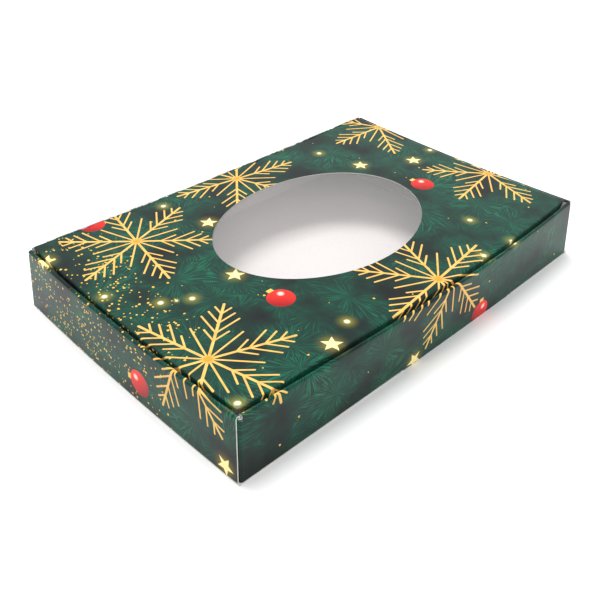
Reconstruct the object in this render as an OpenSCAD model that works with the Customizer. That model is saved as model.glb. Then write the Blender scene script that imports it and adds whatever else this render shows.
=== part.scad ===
// Flat hinged-lid sweet box, folded from one blank of thin board.
// The origin is the middle of the underside, X runs along the front, the hinge is at +Y and Z is up.
// Every panel between two creases is a solid of its own. Sizes are in millimetres.

/* [Carton] */
// Length over the two side walls
box_length = 230; // [180:1:320]
// Width from the front wall to the hinge wall
box_width = 150; // [130:1:220]
// Height to the top of the closed lid
box_height = 32; // [24:0.5:60]

/* [Board] */
// Thickness of the board
board = 0.5; // [0.4:0.05:0.7]
// Air between boards that are folded face to face
fold_gap = 0.3; // [0.2:0.05:0.5]

/* [Rolled walls] */
// Height of the lid's top above the rolled tops of the walls
lid_rise = 0.8; // [0.4:0.1:2]
// Air between the outer and the inner board of the front wall
front_roll_gap = 0.8; // [0.4:0.1:1.5]
// Depth of the flange that each inner side wall lays on the floor
floor_flange_depth = 17; // [8:1:30]
// Cut across the free corners of a floor flange
floor_flange_cut = 3; // [1:0.5:6]

/* [Corner flaps] */
// Length of a corner flap behind its side wall
corner_flap_length = 42; // [20:1:60]
// Slope of a corner flap's top and bottom edges, in degrees
corner_flap_taper = 8; // [0:1:12]

/* [Front lock] */
// Width of a locking tab of the inner front wall
lock_tab_width = 26; // [12:1:40]
// Distance of a locking tab's middle from the middle of the box
lock_tab_offset = 62; // [30:1:66]
// Play of a locking tab in its slot in the floor
lock_tab_play = 0.2; // [0.1:0.05:0.4]

/* [Lid] */
// Play between a side flap of the lid and the inner side wall
side_play = 0.8; // [0.3:0.1:1.5]
// Play between the tuck flap and the inner front wall
front_play = 1.3; // [1.1:0.1:2]
// Depth of the tuck flap
tuck_flap_depth = 16; // [10:1:18]
// Depth of a side flap
side_flap_depth = 20; // [10:1:20]
// Length of crease that is cut free at each end of a flap
crease_relief = 1.2; // [0.6:0.1:3]
// Slope of a side flap's end beside the hinge, in degrees
side_flap_taper = 20; // [5:1:30]
// Slit that frees the lid from the board of the hinge wall
hinge_slit = 0.05; // [0.05:0.01:0.1]

/* [Window] */
// Length of the oval window
window_length = 118; // [60:1:126]
// Width of the oval window
window_width = 88; // [40:1:94]
// Distance of the window's middle from the middle of the box, along the front
window_x = 5; // [-8:0.5:8]
// Distance of the window's middle from the middle of the box, towards the hinge
window_y = 2.5; // [-3:0.5:5]
// Glued margin of the film around the window
film_margin = 8; // [4:0.5:9]
// Thickness of the clear film
film_thickness = 0.2; // [0.1:0.05:0.3]

/* [Hidden] */

$fn = 64;
print_green = [0.03, 0.27, 0.2];
white_board = [0.93, 0.92, 0.9];
film_tint = [0.85, 0.9, 0.92, 0.35];
window_points = 120;
// Reach of the cutting solids past what they cut
over = 1;

x_out = box_length / 2;
y_out = box_width / 2;

// A side wall is the outer board, a corner flap and the inner board with air between them
side_roll = (3 * board + 2 * fold_gap) / 2;
front_roll = (2 * board + front_roll_gap) / 2;
ridge_top = box_height - lid_rise;
side_roll_z = ridge_top - side_roll;
front_roll_z = ridge_top - front_roll;
lid_under = box_height - board;

// The side boards stop behind the front and back walls
side_end = y_out - board - fold_gap;
side_inner_x = x_out - 2 * side_roll;
front_inner_y = -y_out + 2 * front_roll;
// The front and back walls turn into their corner flaps just inside the side walls
corner_x = x_out - board - fold_gap;
front_inner_end = side_inner_x - fold_gap;

lid_x = side_inner_x - side_play;
lid_front = front_inner_y + front_play;
lid_back = y_out - board - hinge_slit;

// A board that stands across X, drawn as an outline in Y and Z from x to x + board
module board_across_x(x, outline) {
    translate([x, 0, 0])
        rotate([90, 0, 90])
            linear_extrude(board)
                polygon(outline);
}

// A board that stands across Y, drawn as an outline in X and Z from y to y + board
module board_across_y(y, outline) {
    translate([0, y + board, 0])
        rotate([90, 0, 0])
            linear_extrude(board)
                polygon(outline);
}

// The rolled top of a double wall: half a tube along X, with its axis on the X axis
module rolled_top(length, radius) {
    rotate([90, 0, 90])
        linear_extrude(length, center = true)
            difference() {
                circle(radius);
                circle(radius - board);
                translate([-radius - over, -radius - over])
                    square([2 * (radius + over), radius + over]);
            }
}

// The tight outer bend of a lid crease: a quarter rod along X with its axis on the X axis
module crease_bend(length) {
    rotate([90, 0, 90])
        linear_extrude(length, center = true)
            intersection() {
                circle(board);
                translate([-board - over, 0])
                    square([board + over, board + over]);
            }
}

module base_panel() {
    color(print_green)
        difference() {
            translate([-x_out, -y_out, 0])
                cube([box_length, box_width, board]);
            for (sx = [-1, 1], sy = [-1, 1])
                translate([sx * x_out, sy * y_out, board / 2])
                    cube([2 * (x_out - corner_x), 2 * (y_out - side_end), board + 2 * over], center = true);
            for (side = [-1, 1])
                translate([side * lock_tab_offset - lock_tab_width / 2 - lock_tab_play,
                           front_inner_y - board - lock_tab_play, -over])
                    cube([lock_tab_width + 2 * lock_tab_play, board + 2 * lock_tab_play, board + 2 * over]);
        }
}

// The hinge wall ends in a round bead on which the lid turns
module back_wall() {
    color(print_green) {
        translate([-corner_x, y_out - board, board])
            cube([2 * corner_x, board, box_height - 1.5 * board]);
        translate([-corner_x, y_out - board / 2, box_height - board / 2])
            rotate([0, 90, 0])
                cylinder(h = 2 * corner_x, r = board / 2);
    }
}

module front_outer_wall() {
    color(print_green)
        translate([-corner_x, -y_out, board])
            cube([2 * corner_x, board, front_roll_z - board]);
}

module front_ridge() {
    color(print_green)
        translate([0, -y_out + front_roll, front_roll_z])
            rolled_top(2 * front_inner_end, front_roll);
}

// The inner front wall carries the tabs that lock it into the floor
module front_inner_wall() {
    color(white_board) {
        translate([-front_inner_end, front_inner_y - board, board])
            cube([2 * front_inner_end, board, front_roll_z - board]);
        for (side = [-1, 1])
            translate([side * lock_tab_offset - lock_tab_width / 2, front_inner_y - board, 0])
                cube([lock_tab_width, board, 2 * board]);
    }
}

module left_outer_wall() {
    color(print_green)
        translate([-x_out, -side_end, board])
            cube([board, 2 * side_end, side_roll_z - board]);
}

module left_ridge() {
    color(print_green)
        translate([-x_out + side_roll, 0, side_roll_z])
            rotate([0, 0, 90])
                rolled_top(2 * side_end, side_roll);
}

module left_inner_wall() {
    color(white_board)
        translate([-side_inner_x - board, -side_end, 2 * board])
            cube([board, 2 * side_end, side_roll_z - 2 * board]);
}

// The foot of the inner side wall lies flat on the floor, clear of the inner front wall
module left_floor_flange() {
    flange_in = -side_inner_x - board + floor_flange_depth;
    flange_front = front_inner_y + fold_gap;
    color(white_board)
        translate([0, 0, board])
            linear_extrude(board)
                polygon([[-side_inner_x - board, flange_front],
                         [flange_in - floor_flange_cut, flange_front],
                         [flange_in, flange_front + floor_flange_cut],
                         [flange_in, side_end - floor_flange_cut],
                         [flange_in - floor_flange_cut, side_end],
                         [-side_inner_x - board, side_end]]);
}

module right_outer_wall() {
    mirror([1, 0, 0])
        left_outer_wall();
}

module right_ridge() {
    mirror([1, 0, 0])
        left_ridge();
}

module right_inner_wall() {
    mirror([1, 0, 0])
        left_inner_wall();
}

module right_floor_flange() {
    mirror([1, 0, 0])
        left_floor_flange();
}

// A corner flap goes on from the front wall and stands between the two boards of a side wall
module front_left_corner_flap() {
    root = -y_out + board;
    tip = root + corner_flap_length;
    low = board + fold_gap;
    high = side_roll_z - fold_gap;
    fall = corner_flap_length * tan(corner_flap_taper);
    color(white_board)
        board_across_x(-corner_x, [[root, low], [tip, low + fall / 2], [tip, high - fall], [root, high]]);
}

module front_right_corner_flap() {
    mirror([1, 0, 0])
        front_left_corner_flap();
}

module back_left_corner_flap() {
    mirror([0, 1, 0])
        front_left_corner_flap();
}

module back_right_corner_flap() {
    mirror([1, 0, 0])
        back_left_corner_flap();
}

// The oval is a polygon of its own points, scaled from its length and width
module window_outline() {
    translate([window_x, window_y])
        polygon([for (i = [0:window_points - 1])
            [window_length / 2 * cos(i * 360 / window_points), window_width / 2 * sin(i * 360 / window_points)]]);
}

module lid_panel() {
    color(print_green) {
        translate([0, 0, lid_under])
            linear_extrude(board)
                difference() {
                    translate([-lid_x + board, lid_front + board])
                        square([2 * (lid_x - board), lid_back - lid_front - board]);
                    window_outline();
                }
        for (turn = [0, 1])
            mirror([turn, 0, 0])
                translate([-lid_x + board, (lid_front + lid_back) / 2, lid_under])
                    rotate([0, 0, -90])
                        crease_bend(lid_back - lid_front - 2 * crease_relief);
        translate([0, lid_front + board, lid_under])
            crease_bend(2 * (lid_x - crease_relief));
    }
}

module window_film() {
    color(film_tint)
        translate([window_x - window_length / 2 - film_margin, window_y - window_width / 2 - film_margin,
                   lid_under - film_thickness])
            cube([window_length + 2 * film_margin, window_width + 2 * film_margin, film_thickness]);
}

// The ends of the flaps are mitred, so that all of them can fold flat under the lid
module tuck_flap() {
    half = lid_x - crease_relief;
    color(print_green)
        board_across_y(lid_front, [[-half, lid_under], [-half + tuck_flap_depth, lid_under - tuck_flap_depth],
                                   [half - tuck_flap_depth, lid_under - tuck_flap_depth], [half, lid_under]]);
}

module left_side_flap() {
    front = lid_front + crease_relief;
    back = lid_back - crease_relief;
    color(print_green)
        board_across_x(-lid_x, [[front, lid_under], [front + side_flap_depth, lid_under - side_flap_depth],
                                [back - side_flap_depth * tan(side_flap_taper), lid_under - side_flap_depth],
                                [back, lid_under]]);
}

module right_side_flap() {
    mirror([1, 0, 0])
        left_side_flap();
}

base_panel();
back_wall();
front_outer_wall();
front_ridge();
front_inner_wall();
left_outer_wall();
left_ridge();
left_inner_wall();
left_floor_flange();
right_outer_wall();
right_ridge();
right_inner_wall();
right_floor_flange();
front_left_corner_flap();
front_right_corner_flap();
back_left_corner_flap();
back_right_corner_flap();
lid_panel();
window_film();
tuck_flap();
left_side_flap();
right_side_flap();
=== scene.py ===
# %% [markdown]
# # A flat window carton for sweets
# The carton is one printed blank of thin board, folded and locked without
# glue, with a clear film behind the oval window of its lid. It could be
# modelled as a few plain boxes, but board is never that straight. So each
# panel is made as an open sheet on its printed side, bent a little as
# loaded board bends, and then given the thickness of the board. The print
# lies on the unfolded blank, so it runs over the creases without a break.

import math

import bpy
from mathutils import Matrix, Vector


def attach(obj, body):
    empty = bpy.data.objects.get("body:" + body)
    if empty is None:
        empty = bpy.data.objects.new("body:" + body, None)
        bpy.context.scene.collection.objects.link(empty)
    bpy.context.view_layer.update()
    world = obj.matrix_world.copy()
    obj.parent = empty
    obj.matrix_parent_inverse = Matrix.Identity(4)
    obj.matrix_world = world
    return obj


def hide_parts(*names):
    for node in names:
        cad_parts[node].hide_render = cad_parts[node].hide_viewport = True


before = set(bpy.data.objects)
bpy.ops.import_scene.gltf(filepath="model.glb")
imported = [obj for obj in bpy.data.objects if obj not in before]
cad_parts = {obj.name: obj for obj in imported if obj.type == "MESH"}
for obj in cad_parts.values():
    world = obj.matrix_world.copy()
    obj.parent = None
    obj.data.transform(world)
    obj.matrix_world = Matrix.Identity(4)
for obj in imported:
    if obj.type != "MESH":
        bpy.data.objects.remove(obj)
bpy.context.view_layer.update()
scene = bpy.context.scene

# %% [markdown]
# ## Sizes
# A carton maker draws the blank in millimetres, measured on the board. The
# script does the same, and each mesh is scaled to metres when it is made.
# The driving sizes stand together here, so that neighbours share them.

# %% Sizes of the carton
MM = 0.001
LENGTH, WIDTH, HEIGHT = 230.0, 150.0, 32.0
BOARD = 0.5  # thickness of the board
SIDE_ROLL, FRONT_ROLL = 1.05, 0.9  # outer radius of the rolled wall tops
SIDE_ROLL_Z, FRONT_ROLL_Z = 30.15, 30.3  # height of the middle of each roll
WALL_END_Y = 74.2  # the side walls end here
FRONT_END_X = 112.6  # the rolled top of the front wall ends here
CORNER_X, CORNER_R = 114.2, 1.2  # place of the corner flaps, and their crease
LID_X, LID_FRONT, LID_BACK = 112.1, -71.9, 74.45  # outline of the lid
SHOULDER = 1.0  # width of the lid's soft edge
FLOOR_TOP = 1.0  # top of the flanges on the floor
WINDOW = (5.0, 2.5, 59.0, 44.0)  # middle of the window and its half axes
print("carton", LENGTH, "x", WIDTH, "x", HEIGHT, "mm")

# %% [markdown]
# ## How loaded board bends
# A folded carton is never a true box. Its walls lean in at the top and bow
# in at the middle, and the lid sags between its corners. A cloth or lattice
# could bend each panel, but then neighbours would drift apart. One function
# that moves any point keeps them together.

# %% The bend of the board
FOOT_OUT, TOP_IN = 1.0, 1.5  # lean of the walls at the corners
FRONT_BOW_TOP, FRONT_BOW_FOOT = 3.8, 1.0
LEFT_BOW_TOP, LEFT_BOW_FOOT = 1.9, 1.4
BACK_DIP, RIGHT_DIP = 1.2, 1.2
RIM_SAG, MID_SAG = 0.9, 0.6
SKEW = 0.35  # the front wall bows more towards the right


def clamp(value):
    return min(1.0, max(0.0, value))


def settle(x, y, z):
    """The place of a point of the straight carton once the board bends."""
    across, along, rise = 2 * x / LENGTH, 2 * y / WIDTH, clamp(z / HEIGHT)
    mid_x, mid_y = 1 - clamp(across**2), 1 - clamp(along**2)
    spread = FOOT_OUT * (1 - rise) - TOP_IN * rise
    front, back = clamp(-along) ** 2, clamp(along) ** 2
    left, right = clamp(-across) ** 2, clamp(across) ** 2
    front_bow = FRONT_BOW_TOP * rise + FRONT_BOW_FOOT * (1 - rise)
    left_bow = LEFT_BOW_TOP * rise + LEFT_BOW_FOOT * (1 - rise)
    dx = across * spread - left * left_bow * mid_y
    dx -= right * RIGHT_DIP * rise * mid_y
    dy = along * spread - front * front_bow * mid_x * (1 + SKEW * across)
    dy -= back * BACK_DIP * rise * mid_x
    off_corner = 1 - clamp((across * along) ** 2)
    dz = -(rise**2) * (RIM_SAG * off_corner + MID_SAG * mid_x * mid_y)
    return Vector((x + dx, y + dy, z + dz))


print("the middle of the lid sags to", round(settle(0, 0, HEIGHT).z, 2), "mm")

# %% [markdown]
# ## Shader maths written as Python
# Nodes can be laid out by hand, but a print with many motifs needs some
# hundreds of them. A small class stands for a value in a node tree. Adding
# or multiplying two of them adds the Math node that does it, so a formula
# reads as a formula.

# %% A value in a node tree
class Value:
    def __init__(self, tree, socket):
        self.tree, self.socket = tree, socket

    def math(self, operation, *others):
        node = self.tree.nodes.new("ShaderNodeMath")
        node.operation = operation
        for slot, item in zip(node.inputs, (self, *others)):
            if isinstance(item, Value):
                self.tree.links.new(item.socket, slot)
            else:
                slot.default_value = item
        return Value(self.tree, node.outputs[0])

    def __add__(self, other):
        return self.math("ADD", other)

    def __radd__(self, other):
        return self.math("ADD", other)

    def __mul__(self, other):
        return self.math("MULTIPLY", other)

    def __rmul__(self, other):
        return self.math("MULTIPLY", other)

    def __sub__(self, other):
        return self.math("SUBTRACT", other)

    def __rsub__(self, other):
        return (self * -1.0) + other

    def __truediv__(self, other):
        return self.math("DIVIDE", other)

    def __rtruediv__(self, other):
        return self.math("POWER", -1.0) * other

    def low(self, other):
        return self.math("MINIMUM", other)

    def high(self, other):
        return self.math("MAXIMUM", other)

    def clip(self, low, high):
        return self.high(low).low(high)

    def size(self):
        return self.math("ABSOLUTE")

    def above(self, limit):
        """1 where the value is over the limit, with a hard edge."""
        return self.math("GREATER_THAN", limit)

    def below(self, limit, soft):
        """1 where the value is under the limit, with a soft edge."""
        return ((limit - self) / soft + 0.5).clip(0.0, 1.0)


print("a value knows how to", [name for name in dir(Value) if name[0] != "_"])

# %% [markdown]
# ## Nodes and colours
# Everything that isn't plain maths comes from one method, which takes a
# node's type, settings, values and links. Colours are laid over each other
# with Mix nodes, because a Math node would turn them grey.

# %% The nodes of one material, or of the world
class Tree:
    def __init__(self, owner):
        owner.use_nodes = True
        self.tree = owner.node_tree
        self.tree.nodes.clear()

    def add(self, kind, settings=None, values=None, links=None):
        node = self.tree.nodes.new(kind)
        for name, value in (settings or {}).items():
            setattr(node, name, value)
        for name, value in (values or {}).items():
            node.inputs[name].default_value = value
        for name, value in (links or {}).items():
            self.tree.links.new(getattr(value, "socket", value), node.inputs[name])
        return node

    def value(self, socket):
        return Value(self.tree, socket)

    def split(self, vector):
        """The x, y and z of a vector or a colour."""
        node = self.add("ShaderNodeSeparateXYZ", links={"Vector": vector})
        return [self.value(socket) for socket in node.outputs]

    def noise(self, vector, scale, detail):
        values = {"Scale": scale, "Detail": detail}
        node = self.add("ShaderNodeTexNoise", None, values, {"Vector": vector})
        return self.value(node.outputs["Fac"])

    def cells(self, vector, scale, randomness):
        values = {"Scale": scale, "Randomness": randomness}
        settings = {"voronoi_dimensions": "2D"}
        return self.add("ShaderNodeTexVoronoi", settings, values, {"Vector": vector})

    def mix(self, factor, under, over):
        """Lay one colour over another; each is a colour or a socket."""
        node = self.add("ShaderNodeMix", {"data_type": "RGBA"})
        factor_in, under_in, over_in = node.inputs[0], node.inputs[6], node.inputs[7]
        self.tree.links.new(factor.socket, factor_in)
        for slot, item in ((under_in, under), (over_in, over)):
            if isinstance(item, tuple):
                slot.default_value = item
            else:
                self.tree.links.new(item, slot)
        return node.outputs[2]


def srgb(red, green, blue):
    """A colour as read from a screen, 0 to 255, for a shader."""
    linear = []
    for part in (red / 255, green / 255, blue / 255):
        linear.append(part / 12.92 if part < 0.04045 else ((part + 0.055) / 1.055) ** 2.4)
    return (*linear, 1.0)


print("a mid grey is", round(srgb(128, 128, 128)[0], 3))

# %% [markdown]
# ## Where the motifs lie on the blank
# On the real blank the motifs are printed before it is folded, so some run
# from the lid over the ridge and down a wall. They could be painted panel
# by panel, but then they would break at each crease. Here their places are
# in millimetres on the unfolded blank: the lid keeps its own x and y, and
# a wall goes on outwards from its ridge. A snowflake is given by its hub
# and the turn of its first arm in degrees.

# %% Places of the motifs
SNOWFLAKES = (
    (-101.5, -42.9, 41.0),
    (-73.3, 47.7, 20.0),
    (2.5, 65.0, 51.0),
    (111.3, 55.9, 56.0),
    (109.7, -26.4, 9.0),
    (6.0, -67.5, 7.0),
)
STARS = (
    (-37.5, 38.5), (-57.0, -5.6), (-61.2, -67.7), (64.9, 29.5),
    (92.2, 12.7), (-113.0, 60.5), (-141.0, -67.6), (-15.8, -103.0),
)
BAUBLES = (
    (-54.2, -32.2), (72.9, -8.9), (-81.4, 74.5),
    (-134.7, -15.6), (33.1, -101.9),
)
LIGHTS = (
    (-46.1, -61.7), (59.5, -48.2), (58.0, 56.2), (-107.5, 19.4),
    (-92.9, -0.4), (-81.5, -7.0), (-44.6, 67.0), (57.5, -72.4),
    (36.8, -70.1), (-110.0, -69.5), (110.0, 14.5),
)
print(len(SNOWFLAKES), "snowflakes,", len(STARS), "stars,", len(BAUBLES), "baubles")

# %% [markdown]
# ## One drawing for many copies
# The six snowflakes are the same drawing. It would be wasteful to draw each
# with nodes of its own. The copies never overlap, so one place can be worked
# out relative to whichever of them is in reach, and the motif is drawn once.

# %% Place relative to the motif in reach
def distance(a, b):
    return (a * a + b * b).math("SQRT")


def nearest(points, u, v, reach):
    """u and v measured from the motif in reach, and a mask of the reach."""
    local_u, local_v, found = None, None, None
    for hub_u, hub_v, *turned in points:
        du, dv = u - hub_u, v - hub_v
        near = distance(du, dv).math("LESS_THAN", reach)
        if turned:
            turn = math.radians(turned[0])
            cos, sin = math.cos(turn), math.sin(turn)
            du, dv = du * cos + dv * sin, dv * cos - du * sin
        du, dv = du * near, dv * near
        local_u = du if local_u is None else local_u + du
        local_v = dv if local_v is None else local_v + dv
        found = near if found is None else found.high(near)
    return local_u, local_v, found


def fold_round(radius, turn, sector):
    """Fold a turn into half a sector: one arm stands for all of them."""
    fold = (turn.math("MODULO", sector) - sector / 2).size()
    return fold, radius * fold.math("COSINE"), radius * fold.math("SINE")


print("reach and folding are ready")

# %% [markdown]
# ## Snowflakes
# A gold snowflake has six feathered arms with a plain ray between each two.
# An image could hold it, but would blur close up. Distances to straight
# strokes stay sharp at any size, and folding the plane into half a sector
# means that only half of one arm has to be drawn.

# %% Draw a snowflake
FLAKE_REACH = 38.0
ARM, ARM_HALF = 36.0, 0.6  # length and half width of an arm
RAY, TWIG_HALF = 21.0, 0.42  # length of a ray; half width of rays and branches
BRANCHES = ((11.3, 8.3), (16.4, 12.9), (23.0, 9.0), (29.2, 5.6))  # start, length
BRANCH_TURN = math.radians(37.0)
SECTOR = math.radians(60.0)
HUB, HUB_SOFT = 1.9, 0.8
STROKE_SOFT = 0.12


def stroke(along, across, length, half_width):
    """Mask of one straight stroke with round ends."""
    past = along - along.clip(0.0, length)
    return distance(past, across).below(half_width, STROKE_SOFT)


def snowflakes(u, v):
    """Masks of the strokes and of the hubs."""
    x, y, found = nearest(SNOWFLAKES, u, v, FLAKE_REACH)
    radius = distance(x, y)
    turn = y.math("ARCTAN2", x) + (math.tau + SECTOR / 2)
    fold, along, across = fold_round(radius, turn, SECTOR)
    ink = stroke(along, across, ARM, ARM_HALF)
    from_ray = SECTOR / 2 - fold
    on_ray, off_ray = radius * from_ray.math("COSINE"), radius * from_ray.math("SINE")
    ink = ink.high(stroke(on_ray, off_ray, RAY, TWIG_HALF))
    cos, sin = math.cos(BRANCH_TURN), math.sin(BRANCH_TURN)
    for start, length in BRANCHES:
        ahead = (along - start) * cos + across * sin
        beside = across * cos - (along - start) * sin
        ink = ink.high(stroke(ahead, beside, length, TWIG_HALF))
    return ink * found, radius.below(HUB, HUB_SOFT) * found


print("a snowflake arm is", ARM, "mm long, with", 2 * len(BRANCHES), "branches")

# %% [markdown]
# ## Stars
# Small gold stars with five points shine between the snowflakes. The same
# folding works with five sectors, and each point is then a single straight
# edge from its tip to the notch beside it.

# %% Draw a star
STAR_REACH = 9.0
STAR_SECTOR, STAR_TURN = math.radians(72.0), math.radians(45.0)
STAR_TIP, STAR_NOTCH = 4.6, 2.0
STAR_SOFT, STAR_GLOW = 0.25, 8.0


def stars(u, v):
    """Masks of the stars and of the glow around them."""
    x, y, found = nearest(STARS, u, v, STAR_REACH)
    radius = distance(x, y)
    turn = y.math("ARCTAN2", x) + (math.tau + STAR_SECTOR / 2 - STAR_TURN)
    _, along, across = fold_round(radius, turn, STAR_SECTOR)
    notch_x = STAR_NOTCH * math.cos(STAR_SECTOR / 2)
    notch_y = STAR_NOTCH * math.sin(STAR_SECTOR / 2)
    edge = math.hypot(STAR_TIP - notch_x, notch_y)
    outside = ((along - STAR_TIP) * notch_y + across * (STAR_TIP - notch_x)) / edge
    glow = 1.0 - (radius / STAR_GLOW).clip(0.0, 1.0)
    return outside.below(0.0, STAR_SOFT) * found, glow * glow * found


print("a star measures", 2 * STAR_TIP, "mm across its points")

# %% [markdown]
# ## The ground of fir needles
# The ground is a deep fir green with brighter fans of needles and nearly
# black gaps. Real branches would need thousands of strokes. A Voronoi
# texture gives each fan a middle, and a noise that is stretched along the
# way out from it reads as needles.

# %% Draw the ground
FAN_SCALE, FAN_SCATTER = 0.045, 0.9  # fans per millimetre, and their disorder
NEEDLES_ROUND, NEEDLE_STRETCH, NEEDLE_SCALE = 15.0, 0.06, 2.2
NEEDLE_FROM, NEEDLE_EDGE, NEEDLE_INK = 0.5, 6.0, 0.8
PATCH_SCALE = 0.035
LIGHT_FROM, LIGHT_EDGE = 0.42, 5.0  # patches over this carry bright needles
DARK_FROM, DARK_EDGE = 0.5, 6.0  # patches under this fall into gaps
GROUND, GAP, NEEDLE = srgb(0, 44, 35), srgb(1, 12, 11), srgb(0, 118, 86)


def needle_ground(t, u, v, place):
    """The colour of the ground, and its patches of light and dark."""
    fans = t.cells(place, FAN_SCALE, FAN_SCATTER)
    middle_u, middle_v, _ = t.split(fans.outputs["Position"])
    du, dv = u - middle_u, v - middle_v
    angle, reach = dv.math("ARCTAN2", du), distance(du, dv)
    polar = t.add("ShaderNodeCombineXYZ", links={
        "X": angle * NEEDLES_ROUND, "Y": reach * NEEDLE_STRETCH, "Z": middle_u})
    needles = t.noise(polar.outputs[0], NEEDLE_SCALE, 1.0)
    patches = t.noise(place, PATCH_SCALE, 3.0)
    in_light = ((patches - LIGHT_FROM) * LIGHT_EDGE).clip(0.0, 1.0)
    bright = ((needles - NEEDLE_FROM) * NEEDLE_EDGE).clip(0.0, 1.0) * in_light
    dark = ((DARK_FROM - patches) * DARK_EDGE).clip(0.0, 1.0)
    color = t.mix(dark, GROUND, GAP)
    return t.mix(bright * NEEDLE_INK, color, NEEDLE), patches


print("a fan is about", round(1 / FAN_SCALE), "mm wide")

# %% [markdown]
# ## Gold dust
# Gold specks lie thick on the left wall and the lid beside it, and hardly
# anywhere else. Scattered discs would be geometry without thickness. The
# cells of a fine Voronoi texture give each speck a place, a size and a lot
# number, and only the cells with a low number are inked.

# %% Draw the gold dust
DUST_SCALE = 0.62  # cells per millimetre
DUST_FROM_U, DUST_FADE_U, DUST_MOST = -78.0, 70.0, 0.3
DUST_FROM_V, DUST_FADE_V = -40.0, 35.0
DUST_PATCH_FROM, DUST_PATCH_EDGE, DUST_PATCH_MOST = 0.3, 4.0, 1.4
DUST_LEAST = 0.004  # share of inked cells on the rest of the blank
SPECK_LEAST, SPECK_SPREAD = 0.12, 0.26  # radius, in cells


def gold_dust(t, u, v, place, patches):
    """Mask of the specks."""
    dust = t.cells(place, DUST_SCALE, 1.0)
    lot, size, _ = t.split(dust.outputs["Color"])
    share = ((DUST_FROM_U - u) / DUST_FADE_U).clip(0.0, DUST_MOST)
    in_patch = (patches - DUST_PATCH_FROM) * DUST_PATCH_EDGE
    share = share * in_patch.clip(0.0, DUST_PATCH_MOST)
    share = share * ((v - DUST_FROM_V) / DUST_FADE_V).clip(0.0, 1.0) + DUST_LEAST
    chosen = (share - lot).above(0.0)
    radius = size * SPECK_SPREAD + SPECK_LEAST
    return (radius - t.value(dust.outputs["Distance"])).above(0.0) * chosen


SPECK_MOST = (SPECK_LEAST + SPECK_SPREAD) / DUST_SCALE
print("specks are up to", round(SPECK_MOST, 1), "mm in radius")

# %% [markdown]
# ## Lights
# Small warm lights are printed as a pale core in a soft yellow halo. They
# are ink, so they get colour only and give off no light of their own.

# %% Draw the lights
LIGHT_REACH, LIGHT_HALO = 8.0, 6.0
LIGHT_CORE, LIGHT_SOFT = 1.1, 0.9


def lights(u, v):
    """Masks of the cores and of the halos."""
    x, y, found = nearest(LIGHTS, u, v, LIGHT_REACH)
    radius = distance(x, y)
    halo = 1.0 - (radius / LIGHT_HALO).clip(0.0, 1.0)
    return radius.below(LIGHT_CORE, LIGHT_SOFT) * found, halo * halo * found


print(len(LIGHTS), "lights")

# %% [markdown]
# ## Baubles
# A bauble is a red ball with a pale shine on its upper right and a gold
# cap. It is flat ink as well, so its roundness is a blend from dark to
# bright red.

# %% Draw a bauble
BAUBLE_REACH, BALL, BALL_SOFT = 10.0, 6.2, 0.25
SHINE_U, SHINE_V, SHINE, SHINE_SOFT = 2.0, 2.4, 1.3, 1.2
CAP_V, CAP_HALF_WIDE, CAP_HALF_HIGH, CAP_SOFT = 7.0, 1.5, 1.0, 0.2
RED_SHADE, RED_BRIGHT, SHADE_SLOPE = srgb(150, 12, 16), srgb(240, 48, 38), 0.07
SHINE_INK, CAP_INK = srgb(255, 205, 190), srgb(235, 190, 90)


def lay_baubles(t, u, v, color):
    x, y, found = nearest(BAUBLES, u, v, BAUBLE_REACH)
    ball = distance(x, y).below(BALL, BALL_SOFT) * found
    shade = ((x + y) * SHADE_SLOPE + 0.5).clip(0.0, 1.0)
    color = t.mix(ball, color, t.mix(shade, RED_SHADE, RED_BRIGHT))
    shine = distance(x - SHINE_U, y - SHINE_V).below(SHINE, SHINE_SOFT) * found
    color = t.mix(shine, color, SHINE_INK)
    beside, over = x.size() - CAP_HALF_WIDE, (y - CAP_V).size() - CAP_HALF_HIGH
    cap = beside.high(over).below(0.0, CAP_SOFT) * found
    return t.mix(cap, color, CAP_INK)


print("a bauble is", 2 * BALL, "mm wide")

# %% [markdown]
# ## The printed board
# The blank is printed flat and laminated with a glossy film. The motifs
# could each be a material on faces of their own, but they cross creases. So
# they are laid over one ground in one material: dust, lights, stars,
# snowflakes and baubles. The UV map "print" holds the place on the blank in
# metres.

# %% Put the print together
BLANK_TO_MM = 1000.0
HALO_STRENGTH, GLOW_STRENGTH = 0.6, 0.55
DUST_INK, HALO_INK, CORE_INK = srgb(228, 180, 70), srgb(190, 180, 70), srgb(255, 246, 205)
GLOW_INK, STAR_INK, HUB_INK = srgb(200, 170, 70), srgb(255, 236, 160), srgb(240, 150, 50)
GOLD_DULL, GOLD_BRIGHT, GOLD_SCALE = srgb(206, 148, 58), srgb(250, 210, 120), 0.25


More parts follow.
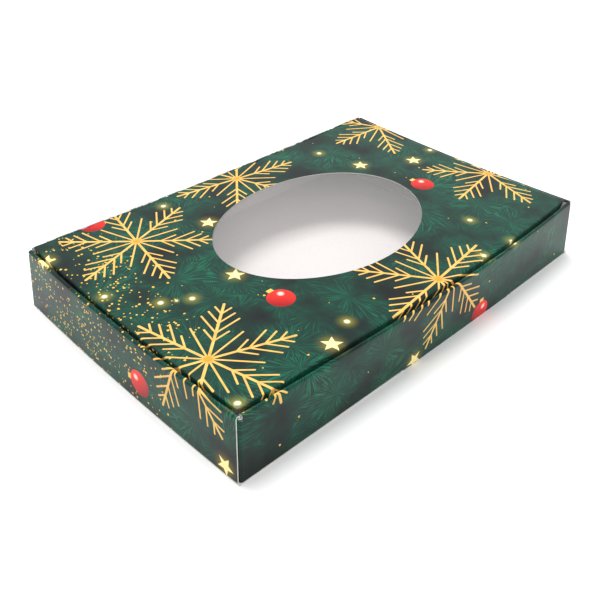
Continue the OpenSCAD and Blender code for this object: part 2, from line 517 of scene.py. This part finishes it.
def print_material():
    material = bpy.data.materials.new("printed board")
    t = Tree(material)
    blank = t.add("ShaderNodeUVMap", {"uv_map": "print"})
    scaled = t.add("ShaderNodeVectorMath", {"operation": "SCALE"},
                   {"Scale": BLANK_TO_MM}, {"Vector": blank.outputs[0]})
    place = scaled.outputs[0]
    u, v, _ = t.split(place)
    color, patches = needle_ground(t, u, v, place)
    color = t.mix(gold_dust(t, u, v, place, patches), color, DUST_INK)
    core, halo = lights(u, v)
    color = t.mix(halo * HALO_STRENGTH, color, HALO_INK)
    color = t.mix(core, color, CORE_INK)
    star, glow = stars(u, v)
    color = t.mix(glow * GLOW_STRENGTH, color, GLOW_INK)
    color = t.mix(star, color, STAR_INK)
    flake, hub = snowflakes(u, v)
    tone = t.noise(place, GOLD_SCALE, 2.0).clip(0.0, 1.0)
    gold = t.mix(tone, GOLD_DULL, GOLD_BRIGHT)
    color = t.mix(flake, color, gold)
    color = t.mix(hub, color, HUB_INK)
    color = lay_baubles(t, u, v, color)
    laminate = {"Roughness": 0.35, "Specular IOR Level": 0.15,
                "Coat Weight": 0.12, "Coat Roughness": 0.12}
    shader = t.add("ShaderNodeBsdfPrincipled", None, laminate, {"Base Color": color})
    t.add("ShaderNodeOutputMaterial", links={"Surface": shader.outputs[0]})
    return material


printed = print_material()
print("print made with", len(printed.node_tree.nodes), "nodes")

# %% [markdown]
# ## White board and cut edge
# The inside of the board is white and matte, and its cut edge shows paper
# fibres. A single flat colour would look like plastic, so a fine noise
# tints the colour and lifts the surface a little.

# %% Make the white board and the cut edge
FIBRES_PER_METRE, FIBRE_DETAIL = 900.0, 3.0
FIBRE_BUMP, FIBRE_HEIGHT = 0.08, 0.0001


def board_material(name, light, dark, roughness):
    material = bpy.data.materials.new(name)
    t = Tree(material)
    place = t.add("ShaderNodeTexCoord").outputs["Object"]
    fibres = t.noise(place, FIBRES_PER_METRE, FIBRE_DETAIL)
    color = t.mix(fibres, dark, light)
    bump = t.add("ShaderNodeBump", None,
                 {"Strength": FIBRE_BUMP, "Distance": FIBRE_HEIGHT}, {"Height": fibres})
    shader = t.add("ShaderNodeBsdfPrincipled", None, {"Roughness": roughness},
                   {"Base Color": color, "Normal": bump.outputs[0]})
    t.add("ShaderNodeOutputMaterial", links={"Surface": shader.outputs[0]})
    return material


white = board_material("white board", srgb(222, 216, 214), srgb(208, 201, 199), 0.6)
raw = board_material("cut edge", srgb(225, 224, 216), srgb(176, 176, 166), 0.9)
print("finishes:", white.name, "and", raw.name)

# %% [markdown]
# ## Clear film
# The window is covered by a thin clear sheet, seen only by its soft
# reflection. Glass with true refraction would need a closed volume and
# more light paths, so a low alpha keeps it simple and bright.

# %% Make the film's finish
film = bpy.data.materials.new("clear film")
film_tree = Tree(film)
film_gloss = film_tree.add("ShaderNodeBsdfPrincipled", None, {
    "Base Color": srgb(250, 252, 252), "Roughness": 0.12, "Alpha": 0.08, "IOR": 1.45})
film_tree.add("ShaderNodeOutputMaterial", links={"Surface": film_gloss.outputs[0]})
print("finish:", film.name)

# %% [markdown]
# ## From a grid of points to a board
# Every panel is a grid of rows and columns on the printed side, with its
# place on the blank beside each point. Both sides could be built by hand,
# but Solidify does it in one step: it adds the thickness behind the grid,
# gives the back the white finish and the rim the cut edge.

# %% Make a board
FACE, BACK_FACE, RIM = 0, 1, 3  # material slots; slot 2 is white as well
SHARP = math.radians(50)


def steps(start, end, count):
    return [start + (end - start) * i / count for i in range(count + 1)]


def grid_mesh(name, rows, tones, closed):
    """rows of (point, (u, v)); tones gives the slot of each row of faces."""
    wide, faces, slots = len(rows[0]), [], []
    for i in range(len(rows) - 1):
        for j in range(wide if closed else wide - 1):
            k = (j + 1) % wide
            here, above = i * wide, (i + 1) * wide
            faces.append((here + j, above + j, above + k, here + k))
            slots.append(tones[i])
    mesh = bpy.data.meshes.new(name)
    mesh.from_pydata([point * MM for row in rows for point, _ in row], [], faces)
    places = [place for row in rows for _, place in row]
    layer = mesh.uv_layers.new(name="print")
    for loop in mesh.loops:
        u, v = places[loop.vertex_index]
        layer.data[loop.index].uv = (u * MM, v * MM)
    for material in (printed, white, white, raw):
        mesh.materials.append(material)
    for face, slot in zip(mesh.polygons, slots):
        face.material_index, face.use_smooth = slot, True
    return mesh


def make_board(name, rows, tones, body, nodes, thickness=BOARD, closed=False):
    piece = bpy.data.objects.new(name, grid_mesh(name, rows, tones, closed))
    scene.collection.objects.link(piece)
    solid = piece.modifiers.new("thickness", "SOLIDIFY")
    solid.thickness, solid.offset = thickness * MM, -1.0
    solid.material_offset, solid.material_offset_rim = BACK_FACE, RIM
    split = piece.modifiers.new("sharp rim", "EDGE_SPLIT")
    split.split_angle = SHARP
    depsgraph = bpy.context.evaluated_depsgraph_get()
    final = bpy.data.meshes.new_from_object(piece.evaluated_get(depsgraph))
    piece.modifiers.clear()
    piece.data = final
    final.name = name
    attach(piece, body)
    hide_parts(*nodes)
    print(name, len(final.polygons), "faces")
    return piece


print("boards are", BOARD, "mm thick")

# %% [markdown]
# ## Rolled side walls
# A side wall goes up, rolls over a soft ridge, comes down inside and ends
# as a flange on the floor. The roll traps the corner flaps, so no glue is
# needed. The ridge, the two boards and the flange could be four pieces, but
# they are one strip of board, so one profile is carried along the wall.

# %% The profile of a side wall
SIDE_TURN = math.pi * SIDE_ROLL  # length of board in the roll
FLANGE_END_X, FLANGE_LIFT = 96.4, 0.9
FOOT_BEND = 1.0  # radius of the bend into the flange


def side_profile():
    """(distance from the middle plane, height, place on the blank, slot)"""
    half, inner = LENGTH / 2, LENGTH / 2 - 2 * SIDE_ROLL
    profile = []
    for z in steps(0, SIDE_ROLL_Z, 16):
        profile.append((half, z, SIDE_TURN + SIDE_ROLL_Z - z, FACE))
    for angle in steps(0, math.pi, 12)[1:]:
        x = half - SIDE_ROLL + SIDE_ROLL * math.cos(angle)
        z = SIDE_ROLL_Z + SIDE_ROLL * math.sin(angle)
        profile.append((x, z, SIDE_TURN - SIDE_ROLL * angle, FACE))
    for z in steps(SIDE_ROLL_Z, FLOOR_TOP + FOOT_BEND, 12)[1:]:
        profile.append((inner, z, 0.0, BACK_FACE))
    bend_x = inner - FOOT_BEND
    for angle in steps(0, math.pi / 2, 4)[1:]:
        x = bend_x + FOOT_BEND * math.cos(angle)
        z = FLOOR_TOP + FOOT_BEND - FOOT_BEND * math.sin(angle)
        profile.append((x, z, 0.0, BACK_FACE))
    for share in steps(0, 1, 6)[1:]:
        x = bend_x - share * (bend_x - FLANGE_END_X)
        profile.append((x, FLOOR_TOP + FLANGE_LIFT * share**2, 0.0, BACK_FACE))
    return profile


print("the profile has", len(side_profile()), "points")

# %% The left and right walls
FLANGE_SHORTER, FLANGE_BELOW = 1.3, 3.0  # the flange stops short of the corners


def side_wall(name, side, nodes):
    """side is -1 at the left and 1 at the right."""
    rows, tones = [], []
    for x, z, place, slot in side_profile():
        in_flange = slot == BACK_FACE and z < FLANGE_BELOW
        reach = WALL_END_Y - (FLANGE_SHORTER if in_flange else 0.0)
        columns = steps(side * reach, -side * reach, 60)
        u = side * (LID_X + place)
        rows.append([(settle(side * x, y, z), (u, y)) for y in columns])
        tones.append(slot)
    return make_board(name, rows, tones[1:], "carton", nodes)


side_wall("left_rolled_wall", -1,
          ("left_outer_wall", "left_ridge", "left_inner_wall", "left_floor_flange"))
side_wall("right_rolled_wall", 1,
          ("right_outer_wall", "right_ridge", "right_inner_wall", "right_floor_flange"))

# %% [markdown]
# ## The doubled front wall
# The front wall is rolled in the same way, with a tighter ridge, and ends
# at its foot in place of a flange. It is made as the side walls are, with
# its ridge a little shorter than the wall so that the corners close.

# %% The front wall
FRONT_TURN = math.pi * FRONT_ROLL


def front_profile():
    """(distance from the middle plane, height, place on the blank, slot)"""
    half, inner = WIDTH / 2, WIDTH / 2 - 2 * FRONT_ROLL
    profile = []
    for z in steps(0, FRONT_ROLL_Z, 16):
        profile.append((half, z, FRONT_TURN + FRONT_ROLL_Z - z, FACE))
    for angle in steps(0, math.pi, 12)[1:]:
        y = half - FRONT_ROLL + FRONT_ROLL * math.cos(angle)
        z = FRONT_ROLL_Z + FRONT_ROLL * math.sin(angle)
        profile.append((y, z, FRONT_TURN - FRONT_ROLL * angle, FACE))
    for z in steps(FRONT_ROLL_Z, BOARD, 12)[1:]:
        profile.append((inner, z, 0.0, BACK_FACE))
    return profile


def front_wall():
    rows, tones = [], []
    for y, z, place, slot in front_profile():
        is_outer = y == WIDTH / 2 and z < FRONT_ROLL_Z - 1
        reach = CORNER_X - CORNER_R if is_outer else FRONT_END_X
        columns = steps(reach, -reach, 90)
        rows.append([(settle(x, -y, z), (x, LID_FRONT - place)) for x in columns])
        tones.append(slot)
    return make_board("front_double_wall", rows, tones[1:], "carton",
                      ("front_outer_wall", "front_ridge", "front_inner_wall"))


front_wall()

# %% [markdown]
# ## The hinge wall
# The back wall is a single board that carries the lid on its top crease. It
# stops just under the lid, so that the lid is free to turn.

# %% The hinge wall
HINGE_GAP = 0.3


def hinge_wall():
    rows, reach = [], CORNER_X - CORNER_R
    for z in steps(0, HEIGHT - HINGE_GAP, 14):
        v = LID_BACK + HEIGHT - z
        rows.append([(settle(x, WIDTH / 2, z), (x, v)) for x in steps(-reach, reach, 90)])
    return make_board("hinge_wall_board", rows, [FACE] * 14, "carton", ("back_wall",))


hinge_wall()

# %% [markdown]
# ## The corner flaps
# The front and back walls go on round each corner as flaps that stand
# inside the side walls. Only their round start shows, beside the cut edge
# of the side wall. One function makes all four, mirrored by two signs, and
# the path is reversed where mirroring would turn the print inwards.

# %% The flaps at the corners
FLAP_REACH, FLAP_TAPER = 42.0, math.tan(math.radians(8))
FLAP_TOP = 29.9
WALL_ON_BLANK = 30.0  # the foot of a wall, measured out from the lid


def corner_flap(name, side, end, nodes):
    """side is -1 at the left, end is -1 at the front."""
    wall, start = WIDTH / 2, CORNER_X - CORNER_R
    path = []
    for angle in steps(0, math.pi / 2, 6):
        bend_x = start + CORNER_R * math.sin(angle)
        path.append((bend_x, wall - CORNER_R + CORNER_R * math.cos(angle)))
    for depth in steps(0, FLAP_REACH, 8)[1:]:
        path.append((CORNER_X, wall - CORNER_R - depth))
    if side * end < 0:
        path.reverse()
    rows = []
    for share in steps(0, 1, 10):
        row = []
        for x, y in path:
            depth = max(0.0, wall - CORNER_R - y)
            low, high = BOARD + depth * FLAP_TAPER, FLAP_TOP - depth * FLAP_TAPER
            z = low + (high - low) * share
            place = (side * (x + depth), end * (wall + WALL_ON_BLANK - z))
            row.append((settle(side * x, end * y, z), place))
        rows.append(row)
    return make_board(name, rows, [FACE] * 10, "carton", nodes)


corner_flap("front_left_corner_board", -1, -1, ("front_left_corner_flap",))
corner_flap("front_right_corner_board", 1, -1, ("front_right_corner_flap",))
corner_flap("back_left_corner_board", -1, 1, ("back_left_corner_flap",))
corner_flap("back_right_corner_board", 1, 1, ("back_right_corner_flap",))

# %% [markdown]
# ## The floor of the carton
# The floor is the middle panel of the blank, printed side down and white
# inside. It is a flat grid that follows the bend of the walls' feet.

# %% The base
FLOOR_ON_BLANK = 35.0  # the front edge of the floor, out from the lid


def base_board():
    rows = []
    for y in steps(-WIDTH / 2, WIDTH / 2, 30):
        v = LID_FRONT - FLOOR_ON_BLANK - (y + WIDTH / 2)
        columns = steps(-LENGTH / 2, LENGTH / 2, 40)
        rows.append([(settle(x, y, 0.0), (x, v)) for x in columns])
    return make_board("base_board", rows, [FACE] * 30, "carton", ("base_panel",))


base_board()

# %% [markdown]
# ## The lid
# The lid is a board with an oval window. A cut by Boolean would leave long
# thin faces round the oval, which shade badly. Rings from the window out to
# the edge bend evenly. The last rings turn down to make the soft shoulders
# of the creases. The back edge stays flat, because there the board goes on
# into the hinge wall.

# %% The lid
def outline(inset, drop):
    """Points round the lid, with the same count on each ring."""
    left, right, low, high = -LID_X + inset, LID_X - inset, LID_FRONT + inset, LID_BACK
    points = [(x, low) for x in steps(left, right, 60)[:-1]]
    points += [(right, y) for y in steps(low, high, 44)[:-1]]
    points += [(x, high) for x in steps(right, left, 60)[:-1]]
    points += [(left, y) for y in steps(high, low, 44)[:-1]]
    ring = []
    for x, y in points:
        turns_down = y < high or abs(x) > right - 0.01
        ring.append((x, y, HEIGHT - (drop if turns_down else 0.0)))
    return ring


def window_ring(share):
    """A ring between the window, at 0, and the flat part's edge, at 1."""
    cx, cy, half_x, half_y = WINDOW
    row = []
    for x, y, _ in outline(SHOULDER, 0.0):
        angle = math.atan2((y - cy) / half_y, (x - cx) / half_x)
        rim_x, rim_y = cx + half_x * math.cos(angle), cy + half_y * math.sin(angle)
        px, py = rim_x + (x - rim_x) * share, rim_y + (y - rim_y) * share
        row.append((settle(px, py, HEIGHT), (px, py)))
    return row


RING_CROWDING = 0.8  # under 1, the rings spread a little towards the edge


def lid_board():
    rows = [window_ring(share**RING_CROWDING) for share in steps(0, 1, 18)]
    for angle in steps(0, math.pi / 2, 5)[1:]:
        inset, drop = SHOULDER * (1 - math.sin(angle)), BOARD * (1 - math.cos(angle))
        rows.append([(settle(x, y, z), (x, y)) for x, y, z in outline(inset, drop)])
    return make_board("lid_board", rows, [FACE] * len(rows), "lid", ("lid_panel",),
                      closed=True)


lid_board()

# %% [markdown]
# ## The flaps of the lid
# Three flaps hang from the creases of the lid, inside the walls, and hold
# it shut. Their ends are cut back so that they slide in without catching.
# A flap is straight down from its crease, so it takes the bend of the crease
# and nothing more.

# %% Tuck flap and side flaps
BACK_CUT = math.tan(math.radians(20))
MITRE = 1.0  # a cut of 45 degrees
TUCK_HALF, TUCK_DEPTH = 110.9, 16.0
SIDE_FLAP_FRONT, SIDE_FLAP_BACK, SIDE_FLAP_DEPTH = -70.7, 73.25, 20.0


def lid_flap(name, crease, depth, cuts, outwards, body, nodes):
    """crease: the two ends on the printed face; cuts: slope of each end."""
    (x0, y0), (x1, y1) = crease
    run = math.hypot(x1 - x0, y1 - y0)
    rows = []
    for drop in steps(depth, 0, 10):
        row = []
        for share in steps(cuts[0] * drop / run, 1 - cuts[1] * drop / run, 60):
            x, y = x0 + (x1 - x0) * share, y0 + (y1 - y0) * share
            place = (x + outwards[0] * drop, y + outwards[1] * drop)
            hang = Vector((0, 0, drop))
            row.append((settle(x, y, HEIGHT - BOARD) - hang, place))
        rows.append(row)
    return make_board(name, rows, [FACE] * 10, body, nodes)


lid_flap("tuck_flap_board", ((TUCK_HALF, LID_FRONT), (-TUCK_HALF, LID_FRONT)),
         TUCK_DEPTH, (MITRE, MITRE), (0, -1),
         "tuck_flap", ("tuck_flap",))
lid_flap("left_side_flap_board", ((-LID_X, SIDE_FLAP_FRONT), (-LID_X, SIDE_FLAP_BACK)),
         SIDE_FLAP_DEPTH, (MITRE, BACK_CUT), (-1, 0),
         "left_side_flap", ("left_side_flap",))
lid_flap("right_side_flap_board", ((LID_X, SIDE_FLAP_BACK), (LID_X, SIDE_FLAP_FRONT)),
         SIDE_FLAP_DEPTH, (BACK_CUT, MITRE), (1, 0),
         "right_side_flap", ("right_side_flap",))

# %% [markdown]
# ## The window film
# A clear sheet is glued under the lid, a little larger than the window. It
# is made as a board too, but thinner and with the film's own finish.

# %% The film
FILM, FILM_MARGIN, GLUE = 0.2, 8.0, 0.02  # thickness, overlap, gap for the glue


def window_film():
    cx, cy, half_x, half_y = WINDOW
    reach_x, reach_y = half_x + FILM_MARGIN, half_y + FILM_MARGIN
    under = Vector((0, 0, BOARD + GLUE))
    rows = []
    for y in steps(cy + reach_y, cy - reach_y, 20):
        columns = steps(cx - reach_x, cx + reach_x, 24)
        rows.append([(settle(x, y, HEIGHT) - under, (x, y)) for x in columns])
    piece = make_board("window_film_sheet", rows, [FACE] * 20, "lid", ("window_film",),
                       thickness=FILM)
    piece.data.materials.clear()
    piece.data.materials.append(film)
    for face in piece.data.polygons:
        face.material_index = 0
    return piece


window_film()

# %% [markdown]
# ## The studio floor
# The carton stands on a pale matte floor, a hair below its underside so
# that the two don't flicker into each other. The floor isn't part of the
# object.

# %% The studio floor
FLOOR_HALF, FLOOR_DROP = 3.0, 0.0002

floor_mesh = bpy.data.meshes.new("studio floor")
floor_corners = [(x * FLOOR_HALF, y * FLOOR_HALF, 0)
                 for x, y in ((-1, -1), (1, -1), (1, 1), (-1, 1))]
floor_mesh.from_pydata(floor_corners, [], [(0, 1, 2, 3)])
studio_floor = bpy.data.objects.new("studio floor", floor_mesh)
scene.collection.objects.link(studio_floor)
studio_floor.location.z = -FLOOR_DROP
floor_paint = bpy.data.materials.new("floor paint")
floor_tree = Tree(floor_paint)
floor_shader = floor_tree.add("ShaderNodeBsdfPrincipled", None,
                              {"Base Color": srgb(246, 246, 246), "Roughness": 0.8})
floor_tree.add("ShaderNodeOutputMaterial", links={"Surface": floor_shader.outputs[0]})
floor_mesh.materials.append(floor_paint)
print("floor", 2 * FLOOR_HALF, "m wide")

# %% [markdown]
# ## Lamps
# The photograph has soft light from above and behind, and a weaker light
# in front that fills the near walls. Large area lamps give the same soft
# shadow. The main one hangs high, so that its reflection on the glossy lid
# stays out of the camera.

# %% The lamps
def soft_lamp(name, place, size, power):
    light = bpy.data.lights.new(name, "AREA")
    light.shape, light.size, light.energy = "SQUARE", size, power
    lamp = bpy.data.objects.new(name, light)
    scene.collection.objects.link(lamp)
    lamp.location = place
    lamp.rotation_euler = (-Vector(place)).to_track_quat("-Z", "Y").to_euler()
    print(name, power, "W")


soft_lamp("main softbox", (0.05, 0.35, 1.3), 0.7, 17.5)
soft_lamp("front fill", (-0.8, -0.9, 0.9), 0.8, 7.0)

# %% [markdown]
# ## The world
# The background is plain white to the camera and in reflections. For the
# light that falls on the carton the world is dimmer, so pale surfaces keep
# their colour.

# %% The world
WORLD_LIGHT = 0.6
PURE_WHITE = (1.0, 1.0, 1.0, 1.0)

world = bpy.data.worlds.new("studio")
scene.world = world
sky = Tree(world)
rays = sky.add("ShaderNodeLightPath")
seen = sky.value(rays.outputs["Is Camera Ray"])
seen = seen.high(sky.value(rays.outputs["Is Glossy Ray"]))
seen = seen.high(sky.value(rays.outputs["Is Transmission Ray"]))
dim = sky.add("ShaderNodeBackground", None, {"Color": PURE_WHITE, "Strength": WORLD_LIGHT})
plain = sky.add("ShaderNodeBackground", None, {"Color": PURE_WHITE, "Strength": 1.0})
both = sky.add("ShaderNodeMixShader", links={"Fac": seen})
sky.tree.links.new(dim.outputs[0], both.inputs[1])
sky.tree.links.new(plain.outputs[0], both.inputs[2])
sky.add("ShaderNodeOutputWorld", links={"Surface": both.outputs[0]})
print("world light", WORLD_LIGHT)

# %% [markdown]
# ## The camera
# The photograph was taken from the front left corner, about 36 degrees
# above the table and rolled by one degree. These numbers were fitted to the
# corners of the carton, so they are set straight and not with a target.

# %% The camera
AZIMUTH, ELEVATION, ROLL = -0.784043, 0.636387, 0.0185814
CAMERA_PLACE = Vector((-229.012, -219.041, 219.113)) * MM
FOCAL_PIXELS, PICTURE, SENSOR = 752.98, 600.0, 36.0

toward = Vector((math.sin(AZIMUTH) * math.cos(ELEVATION),
                 -math.cos(AZIMUTH) * math.cos(ELEVATION), math.sin(ELEVATION)))
level = (-toward).cross(Vector((0, 0, 1))).normalized()
upward = level.cross(-toward)
right_axis = math.cos(ROLL) * level + math.sin(ROLL) * upward
up_axis = -math.sin(ROLL) * level + math.cos(ROLL) * upward
lens = bpy.data.cameras.new("camera")
lens.lens, lens.sensor_width = SENSOR * FOCAL_PIXELS / PICTURE, SENSOR
lens.clip_start = 0.01
camera = bpy.data.objects.new("camera", lens)
scene.collection.objects.link(camera)
turn = Matrix((right_axis, up_axis, toward)).transposed().to_4x4()
camera.matrix_world = Matrix.Translation(CAMERA_PLACE) @ turn
scene.camera = camera
scene.view_settings.view_transform = "Standard"
print("lens", round(lens.lens, 1), "mm")

# %% [markdown]
# ## Sizes and finish
# The bent boards may leave the straight carton's box by a few per cent at most.
